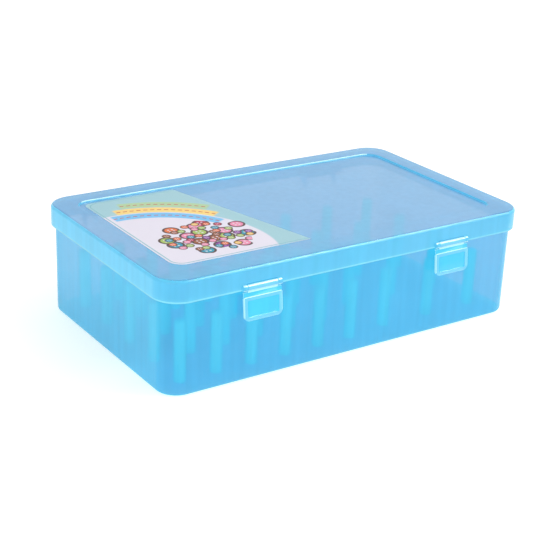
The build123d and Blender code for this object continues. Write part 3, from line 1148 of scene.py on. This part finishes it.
class THREADBOX_OT_stage(Operator):
    """Set up the camera, the lights, the world and the floor"""

    bl_idname = "threadbox.stage"
    bl_label = "Stage"

    def execute(self, context):
        scene = context.scene
        settings = scene.thread_box.stage
        scene.view_settings.view_transform = "Standard"
        scene.cycles.transparent_max_bounces = CLEAR_LAYERS
        self.camera(scene, settings)
        self.world(scene, settings)
        self.floor(settings)
        self.soft_box("key", *KEY)
        self.soft_box("fill", *FILL)
        self.sheen_card(*SHEEN)
        return {"FINISHED"}

    def camera(self, scene, settings):
        """The camera at the photograph's place and angle."""
        data = bpy.data.cameras.new("camera")
        data.lens = settings.lens
        data.clip_start = 0.01
        camera = bpy.data.objects.new("camera", data)
        tilt = Euler((math.radians(90) - settings.elevation, 0, settings.azimuth))
        turn = tilt.to_matrix() @ Matrix.Rotation(settings.roll, 3, "Z")
        camera.matrix_world = Matrix.LocRotScale(settings.camera_place, turn, None)
        scene.collection.objects.link(camera)
        scene.camera = camera

    def world(self, scene, settings):
        """Even light from all round that the camera and reflections see as white."""
        world = bpy.data.worlds.new("studio")
        world.use_nodes = True
        tree = world.node_tree
        tree.nodes.clear()
        seen = any_ray(tree, SEEN_RAYS)
        strength = map_range(tree, seen, 0.0, 1.0, settings.daylight, 1.0)
        light = node(tree, "Background", {"Color": (1, 1, 1, 1), "Strength": strength})
        node(tree, "OutputWorld", {"Surface": light.outputs["Background"]})
        scene.world = world

    def floor(self, settings):
        """A pale floor that keeps the box's shadow."""
        side = settings.floor_size
        outline = rounded_rectangle(side, side, side / 10)
        floor = stack("floor", [(outline, FLOOR_LOW), (outline, FLOOR_TOP)])
        material, tree = new_material("pale_floor")
        tone = blend(tree, spread(tree, noise(tree, FLOOR_SCALE)), *FLOOR_GREYS)
        matt = node(tree, "BsdfDiffuse", {"Color": tone}).outputs["BSDF"]
        lift = calculate(tree, "MULTIPLY", any_ray(tree, SEEN_RAYS), settings.floor_lift)
        glow = node(tree, "Emission", {"Strength": lift}).outputs["Emission"]
        both = node(tree, "AddShader", {0: matt, 1: glow}).outputs["Shader"]
        node(tree, "OutputMaterial", {"Surface": both})
        floor.data.materials.append(material)

    def sheen_card(self, place, target, side, strength):
        """A bright card that looks at a target and shows in the plastic's shine alone."""
        outline = rounded_rectangle(side, side, side / 10)
        towards = (Vector(target) - Vector(place)).to_track_quat("Z", "Y").to_matrix().to_4x4()
        axes = Matrix.Translation(place) @ towards
        card = stack("sheen_card", [(outline, -1 * MM), (outline, 0.0)], axes)
        material, tree = new_material("sheen_glow")
        glow = node(tree, "Emission", {"Strength": strength}).outputs["Emission"]
        node(tree, "OutputMaterial", {"Surface": glow})
        material.cycles.emission_sampling = "NONE"
        card.data.materials.append(material)
        for ray in ("camera", "diffuse", "transmission", "shadow"):
            setattr(card, f"visible_{ray}", False)

    def soft_box(self, name, place, target, side, power):
        """A square soft light that looks at a target."""
        data = bpy.data.lights.new(name, "AREA")
        data.shape = "SQUARE"
        data.size = side
        data.energy = power
        light = bpy.data.objects.new(name, data)
        light.location = place
        direction = Vector(target) - Vector(place)
        light.rotation_euler = direction.to_track_quat("-Z", "Y").to_euler()
        light.visible_camera = False
        bpy.context.scene.collection.objects.link(light)


class THREADBOX_PT_panel(Panel):
    """Lists the thread box's pieces"""

    bl_label = "Thread Box"
    bl_space_type = "VIEW_3D"
    bl_region_type = "UI"
    bl_category = "Thread Box"

    def draw(self, context):
        column = self.layout.column()
        for operator in OPERATORS:
            column.operator(operator.bl_idname)


# The panel's buttons, in the order of building
OPERATORS = (THREADBOX_OT_stage, THREADBOX_OT_tray, THREADBOX_OT_lid, THREADBOX_OT_latches)
OPERATORS += (THREADBOX_OT_pegs, THREADBOX_OT_hinge_pins, THREADBOX_OT_card)
GROUPS = (PlasticSettings, ShellSettings, LatchSettings, PegSettings, CardSettings)
GROUPS += (StageSettings, SceneSettings)


def register():
    """Registers the settings, the operators and the panel."""
    for kind in (*GROUPS, *OPERATORS, THREADBOX_PT_panel):
        bpy.utils.register_class(kind)
    bpy.types.Scene.thread_box = PointerProperty(type=SceneSettings)


def unregister():
    """Takes them out again."""
    del bpy.types.Scene.thread_box
    for kind in reversed((*GROUPS, *OPERATORS, THREADBOX_PT_panel)):
        bpy.utils.unregister_class(kind)


def main():
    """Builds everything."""
    register()
    bpy.ops.threadbox.stage()
    bpy.ops.threadbox.tray()
    bpy.ops.threadbox.lid()
    bpy.ops.threadbox.latches()
    bpy.ops.threadbox.pegs()
    bpy.ops.threadbox.hinge_pins()
    bpy.ops.threadbox.card()


if __name__ == "__main__":
    main()
